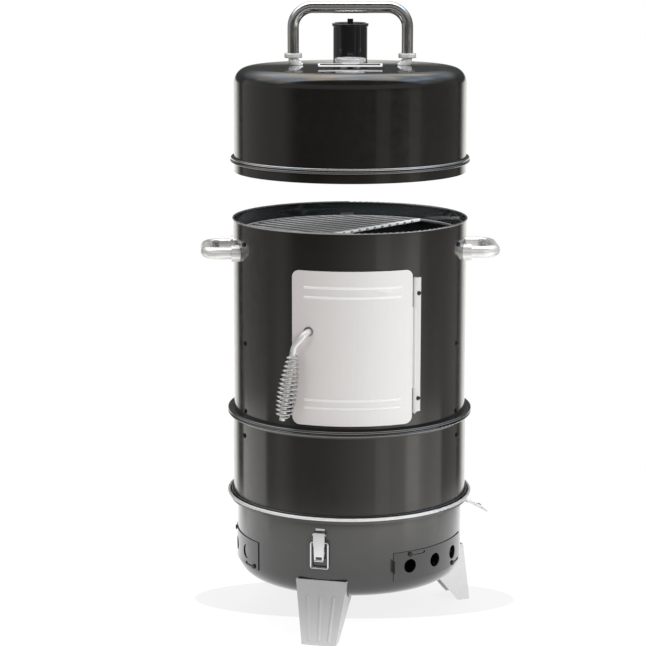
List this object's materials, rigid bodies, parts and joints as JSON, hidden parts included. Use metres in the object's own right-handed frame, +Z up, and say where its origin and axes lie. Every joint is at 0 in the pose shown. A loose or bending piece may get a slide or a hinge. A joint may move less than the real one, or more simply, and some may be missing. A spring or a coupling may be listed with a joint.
{
  "type": "vertical water smoker",
  "caption": "Tall charcoal water smoker: bowl on sheet legs, stacked enamel chamber with a curved door, hanging water pan, wire grates, and a lid with smoke stack and thermometer.",
  "frame": {"origin": "on the floor under the middle of the bowl", "axes": "+Z up, -Y the front where the door is, +X to the right seen from the front"},
  "size_m": [0.5193, 0.4368, 1.0723],
  "materials": {
    "body_enamel": "near-black brown porcelain enamel, glossy",
    "bowl_enamel": "near-black porcelain enamel, glossy",
    "damper_sheet": "dark enamelled sheet, glossy",
    "stack_enamel": "black enamel, glossy",
    "pan_enamel": "black enamel, glossy",
    "leg_steel": "satin silver",
    "door_steel": "light satin silver",
    "hinge_steel": "satin silver",
    "handle_steel": "polished stainless steel",
    "latch_chrome": "bright chrome",
    "coil_steel": "polished spring wire",
    "grate_chrome": "bright plated wire",
    "bracket_steel": "plated sheet",
    "fastener_steel": "zinc plated",
    "dark_screw": "blackened steel",
    "plate_metal": "satin",
    "gauge_metal": "polished",
    "dial_face": "matt white",
    "needle_red": "satin red",
    "gauge_glass": "clear"
  },
  "bodies": {
    "base": {"base_bowl": "bowl_enamel", "leg_front": "leg_steel", "leg_right": "leg_steel", "leg_left": "leg_steel", "leg_bolts": "fastener_steel", "leg_nuts": "fastener_steel", "charcoal_brackets": "bracket_steel", "damper_screws": "dark_screw", "latch_plates": "latch_chrome", "latch_rivets": "fastener_steel", "latch_pins": "latch_chrome"},
    "charcoal_grate": {"charcoal_grate": "bracket_steel"},
    "damper_right": {"damper_right": "damper_sheet"},
    "damper_left": {"damper_left": "damper_sheet"},
    "damper_rear": {"damper_rear": "damper_sheet"},
    "lever_front": {"latch_lever_front": "latch_chrome"},
    "lever_right": {"latch_lever_right": "latch_chrome"},
    "lever_left": {"latch_lever_left": "latch_chrome"},
    "bail_front": {"latch_bail_front": "latch_chrome"},
    "bail_right": {"latch_bail_right": "latch_chrome"},
    "bail_left": {"latch_bail_left": "latch_chrome"},
    "stack": {"lower_body": "body_enamel", "upper_body": "body_enamel", "section_straps": "bracket_steel", "grate_brackets": "bracket_steel", "body_bolts": "dark_screw", "body_nuts": "fastener_steel", "hinge_leaf": "hinge_steel", "hinge_pin": "hinge_steel", "hinge_screws": "dark_screw", "side_handle_left": "handle_steel", "side_handle_right": "handle_steel", "side_handle_collars": "handle_steel", "side_handle_screws": "fastener_steel"},
    "door": {"door": "door_steel", "latch_washer": "fastener_steel"},
    "door_latch": {"door_latch_rod": "handle_steel", "coil_grip": "coil_steel", "door_latch_tongue": "bracket_steel"},
    "water_pan": {"water_pan": "pan_enamel"},
    "lower_grate": {"lower_grate": "grate_chrome"},
    "upper_grate": {"upper_grate": "grate_chrome"},
    "lid": {"lid_shell": "body_enamel", "lid_handle": "handle_steel", "lid_handle_collars": "handle_steel", "lid_handle_feet": "handle_steel", "lid_handle_screws": "fastener_steel", "smoke_stack": "stack_enamel", "stack_rivet": "fastener_steel", "front_plate": "plate_metal", "thermometer_spacer": "gauge_metal", "thermometer_case": "gauge_metal", "thermometer_dial": "dial_face", "thermometer_glass": "gauge_glass", "thermometer_nut": "fastener_steel"},
    "stack_damper": {"stack_damper": "stack_enamel"},
    "thermometer_needle": {"thermometer_needle": "needle_red"}
  },
  "joints": [
    {"name": "stack_lift", "type": "slide", "parent": "base", "child": "stack", "axis": [0, 0, 1], "range_m": [0, 0.3]},
    {"name": "lid_lift", "type": "slide", "parent": "stack", "child": "lid", "axis": [0, 0, 1], "range_m": [-0.096, 0.2]},
    {"name": "charcoal_grate_lift", "type": "slide", "parent": "base", "child": "charcoal_grate", "axis": [0, 0, 1], "range_m": [0, 0.1]},
    {"name": "water_pan_lift", "type": "slide", "parent": "stack", "child": "water_pan", "axis": [0, 0, 1], "range_m": [0, 0.1]},
    {"name": "lower_grate_lift", "type": "slide", "parent": "stack", "child": "lower_grate", "axis": [0, 0, 1], "range_m": [0, 0.12]},
    {"name": "upper_grate_lift", "type": "slide", "parent": "stack", "child": "upper_grate", "axis": [0, 0, 1], "range_m": [0, 0.1]},
    {"name": "door_hinge", "type": "hinge", "parent": "stack", "child": "door", "pos_m": [0.10877, -0.17577, 0.5075], "axis": [0, 0, 1], "range_deg": [0, 135]},
    {"name": "door_latch_turn", "type": "hinge", "parent": "door", "child": "door_latch", "pos_m": [-0.06788, -0.19439, 0.538], "axis": [0.3297, 0.9441, 0], "range_deg": [0, 90]},
    {"name": "damper_right_slide", "type": "hinge", "parent": "base", "child": "damper_right", "pos_m": [0, 0, 0.128], "axis": [0, 0, 1], "range_deg": [-8.5, 0]},
    {"name": "damper_left_slide", "type": "hinge", "parent": "base", "child": "damper_left", "pos_m": [0, 0, 0.128], "axis": [0, 0, 1], "range_deg": [0, 8.5]},
    {"name": "damper_rear_slide", "type": "hinge", "parent": "base", "child": "damper_rear", "pos_m": [0, 0, 0.128], "axis": [0, 0, 1], "range_deg": [-8.5, 0]},
    {"name": "stack_damper_turn", "type": "hinge", "parent": "lid", "child": "stack_damper", "pos_m": [0, 0.058, 1.033], "axis": [0, 0, 1], "range_deg": [0, 60]},
    {"name": "needle_turn", "type": "hinge", "parent": "lid", "child": "thermometer_needle", "pos_m": [0, -0.035, 0.977], "axis": [0, 0, -1], "range_deg": [0, 240]},
    {"name": "lever_front_swing", "type": "hinge", "parent": "base", "child": "lever_front", "pos_m": [-0.05026, -0.1972, 0.19], "axis": [-0.969, 0.247, 0], "range_deg": [0, 70]},
    {"name": "bail_front_swing", "type": "hinge", "parent": "lever_front", "child": "bail_front", "pos_m": [-0.05026, -0.1972, 0.176], "axis": [-0.969, 0.247, 0], "range_deg": [0, 105]},
    {"name": "lever_right_swing", "type": "hinge", "parent": "base", "child": "lever_right", "pos_m": [0.19591, 0.05507, 0.19], "axis": [0.2706, -0.9627, 0], "range_deg": [-60, 10]},
    {"name": "bail_right_swing", "type": "hinge", "parent": "lever_right", "child": "bail_right", "pos_m": [0.20758, 0.05835, 0.183], "axis": [0.2706, -0.9627, 0], "range_deg": [0, 105]},
    {"name": "lever_left_swing", "type": "hinge", "parent": "base", "child": "lever_left", "pos_m": [-0.14564, 0.14213, 0.19], "axis": [0.6984, 0.7157, 0], "range_deg": [0, 70]},
    {"name": "bail_left_swing", "type": "hinge", "parent": "lever_left", "child": "bail_left", "pos_m": [-0.14564, 0.14213, 0.176], "axis": [0.6984, 0.7157, 0], "range_deg": [0, 105]}
  ]
}
